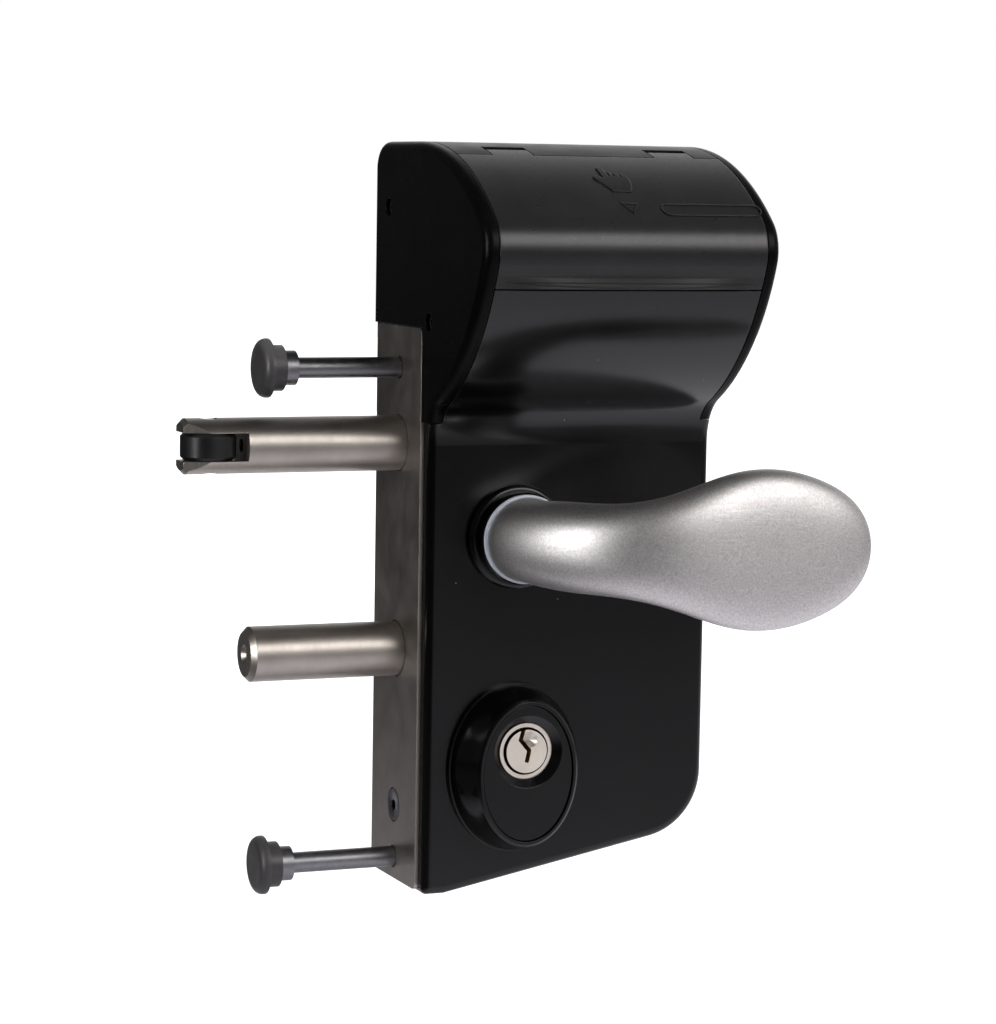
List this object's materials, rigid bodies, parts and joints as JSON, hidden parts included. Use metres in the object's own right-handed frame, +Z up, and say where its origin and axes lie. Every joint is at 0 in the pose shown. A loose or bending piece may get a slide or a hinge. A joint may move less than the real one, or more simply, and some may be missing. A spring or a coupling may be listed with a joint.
{
  "type": "mechanical code lock",
  "caption": "Surface-mounted mechanical code lock with a lidded keypad, lever handles, roller latch, round deadbolt and keyed cylinder.",
  "frame": {"origin": "on the mounting face, in the plane of both bolt axes, midway between the two fixing bolts", "axes": "-X out of the mounting face along the bolts, -Y towards the keypad side, +Z up"},
  "size_m": [0.1821, 0.1584, 0.2175],
  "materials": {
    "cover_gloss": "gloss",
    "cheek_satin": "satin",
    "flap_fine_grain": "matte, fine grain",
    "panel": "matte",
    "button_metal": "satin",
    "lever_aluminium": "satin anodised",
    "bush_grey": "satin",
    "stainless": "brushed",
    "nickel": "satin nickel",
    "roller_nylon": "matte",
    "cap_plastic": "matte",
    "case_steel": "zinc plated",
    "inner_steel": "plain",
    "inner_plastic": "plain",
    "brass": "plain",
    "fastener": "zinc plated"
  },
  "bodies": {
    "case": {"button_springs": "inner_steel", "case_lid": "case_steel", "cheek_left": "cheek_satin", "cheek_right": "cheek_satin", "cheek_screws": "fastener", "code_chamber": "inner_plastic", "cover_screws": "fastener", "cylinder_body": "nickel", "cylinder_plate_front": "cover_gloss", "cylinder_plate_rear": "cover_gloss", "cylinder_rosette_front": "cover_gloss", "cylinder_rosette_rear": "cover_gloss", "cylinder_screw": "fastener", "fixing_bolts": "fastener", "fixing_caps": "cap_plastic", "fixing_nuts": "inner_steel", "front_cover": "cover_gloss", "handle_ring_front": "bush_grey", "handle_ring_rear": "bush_grey", "handle_rosette_front": "cover_gloss", "handle_rosette_rear": "cover_gloss", "hinge_bridge": "cheek_satin", "hinge_pins": "inner_steel", "keypad_panel": "panel", "latch_spring": "inner_steel", "lock_case": "case_steel", "mounting_plate": "stainless", "rear_cover": "cover_gloss", "rod_bushes": "brass"},
    "flap": {"flap": "flap_fine_grain"},
    "outer_handle": {"handle_front": "lever_aluminium", "spindle_front": "inner_steel", "clutch_hub": "inner_steel"},
    "inner_handle": {"handle_rear": "lever_aluminium", "spindle_rear": "inner_steel", "follower": "inner_steel"},
    "latch": {"latch_fork": "stainless", "latch_adjuster": "fastener", "latch_roller_pin": "stainless", "latch_carriage": "inner_steel"},
    "roller": {"latch_roller": "roller_nylon"},
    "deadbolt": {"deadbolt": "stainless", "deadbolt_carriage": "inner_steel"},
    "plug": {"cylinder_plug_front": "nickel", "cylinder_plug_rear": "nickel", "cylinder_cam": "inner_steel"},
    "button_1": {"button_1": "button_metal"},
    "button_2": {"button_2": "button_metal"},
    "button_3": {"button_3": "button_metal"},
    "button_4": {"button_4": "button_metal"},
    "button_5": {"button_5": "button_metal"},
    "button_6": {"button_6": "button_metal"},
    "button_7": {"button_7": "button_metal"},
    "button_8": {"button_8": "button_metal"},
    "button_9": {"button_9": "button_metal"},
    "button_10": {"button_10": "button_metal"},
    "button_11": {"button_11": "button_metal"},
    "button_12": {"button_12": "button_metal"},
    "button_13": {"button_13": "button_metal"},
    "button_14": {"button_14": "button_metal"}
  },
  "joints": [
    {"name": "flap_hinge", "type": "hinge", "parent": "case", "child": "flap", "pos_m": [0.04475, -0.02714, 0.13177], "axis": [-1, 0, 0], "range_deg": [0, 95]},
    {"name": "inner_handle_turn", "type": "hinge", "parent": "case", "child": "inner_handle", "pos_m": [0.0282, 0, 0.0243], "axis": [0, 1, 0], "range_deg": [0, 45], "stiffness_Nm_per_rad": 1, "springref_deg": -28.65},
    {"name": "outer_handle_turn", "type": "hinge", "parent": "case", "child": "outer_handle", "pos_m": [0.0282, 0, 0.0243], "axis": [0, 1, 0], "range_deg": [0, 45]},
    {"name": "latch_slide", "type": "slide", "parent": "case", "child": "latch", "axis": [1, 0, 0], "range_m": [0, 0.02013], "deforming": ["latch_spring"]},
    {"name": "roller_spin", "type": "hinge", "parent": "latch", "child": "roller", "pos_m": [-0.0575, 0, 0.05], "axis": [0, 0, 1], "continuous": true},
    {"name": "key_turn", "type": "hinge", "parent": "case", "child": "plug", "pos_m": [0.0282, 0, -0.0366], "axis": [0, -1, 0], "range_deg": [0, 360]},
    {"name": "deadbolt_slide", "type": "slide", "parent": "case", "child": "deadbolt", "axis": [-1, 0, 0], "range_m": [0, 0.02]},
    {"name": "button_1_press", "type": "slide", "parent": "case", "child": "button_1", "axis": [0, 0.7649, -0.6441], "range_m": [0, 0.003], "stiffness_N_per_m": 400, "springref_m": -0.002, "deforming": ["button_springs"]},
    {"name": "button_2_press", "type": "slide", "parent": "case", "child": "button_2", "axis": [0, 0.7649, -0.6441], "range_m": [0, 0.003], "stiffness_N_per_m": 400, "springref_m": -0.002, "deforming": ["button_springs"]},
    {"name": "button_3_press", "type": "slide", "parent": "case", "child": "button_3", "axis": [0, 0.7649, -0.6441], "range_m": [0, 0.003], "stiffness_N_per_m": 400, "springref_m": -0.002, "deforming": ["button_springs"]},
    {"name": "button_4_press", "type": "slide", "parent": "case", "child": "button_4", "axis": [0, 0.7649, -0.6441], "range_m": [0, 0.003], "stiffness_N_per_m": 400, "springref_m": -0.002, "deforming": ["button_springs"]},
    {"name": "button_5_press", "type": "slide", "parent": "case", "child": "button_5", "axis": [0, 0.7649, -0.6441], "range_m": [0, 0.003], "stiffness_N_per_m": 400, "springref_m": -0.002, "deforming": ["button_springs"]},
    {"name": "button_6_press", "type": "slide", "parent": "case", "child": "button_6", "axis": [0, 0.7649, -0.6441], "range_m": [0, 0.003], "stiffness_N_per_m": 400, "springref_m": -0.002, "deforming": ["button_springs"]},
    {"name": "button_7_press", "type": "slide", "parent": "case", "child": "button_7", "axis": [0, 0.7649, -0.6441], "range_m": [0, 0.003], "stiffness_N_per_m": 400, "springref_m": -0.002, "deforming": ["button_springs"]},
    {"name": "button_8_press", "type": "slide", "parent": "case", "child": "button_8", "axis": [0, 0.7649, -0.6441], "range_m": [0, 0.003], "stiffness_N_per_m": 400, "springref_m": -0.002, "deforming": ["button_springs"]},
    {"name": "button_9_press", "type": "slide", "parent": "case", "child": "button_9", "axis": [0, 0.7649, -0.6441], "range_m": [0, 0.003], "stiffness_N_per_m": 400, "springref_m": -0.002, "deforming": ["button_springs"]},
    {"name": "button_10_press", "type": "slide", "parent": "case", "child": "button_10", "axis": [0, 0.7649, -0.6441], "range_m": [0, 0.003], "stiffness_N_per_m": 400, "springref_m": -0.002, "deforming": ["button_springs"]},
    {"name": "button_11_press", "type": "slide", "parent": "case", "child": "button_11", "axis": [0, 0.7649, -0.6441], "range_m": [0, 0.003], "stiffness_N_per_m": 400, "springref_m": -0.002, "deforming": ["button_springs"]},
    {"name": "button_12_press", "type": "slide", "parent": "case", "child": "button_12", "axis": [0, 0.7649, -0.6441], "range_m": [0, 0.003], "stiffness_N_per_m": 400, "springref_m": -0.002, "deforming": ["button_springs"]},
    {"name": "button_13_press", "type": "slide", "parent": "case", "child": "button_13", "axis": [0, 0.7649, -0.6441], "range_m": [0, 0.003], "stiffness_N_per_m": 400, "springref_m": -0.002, "deforming": ["button_springs"]},
    {"name": "button_14_press", "type": "slide", "parent": "case", "child": "button_14", "axis": [0, 0.7649, -0.6441], "range_m": [0, 0.003], "stiffness_N_per_m": 400, "springref_m": -0.002, "deforming": ["button_springs"]}
  ],
  "couplings": [
    {"joint": "outer_handle_turn", "follows": "inner_handle_turn", "ratio": 1},
    {"joint": "latch_slide", "follows": "inner_handle_turn", "m_per_rad": 0.025631},
    {"joint": "key_turn", "follows": "deadbolt_slide", "rad_per_m": 314.16}
  ]
}
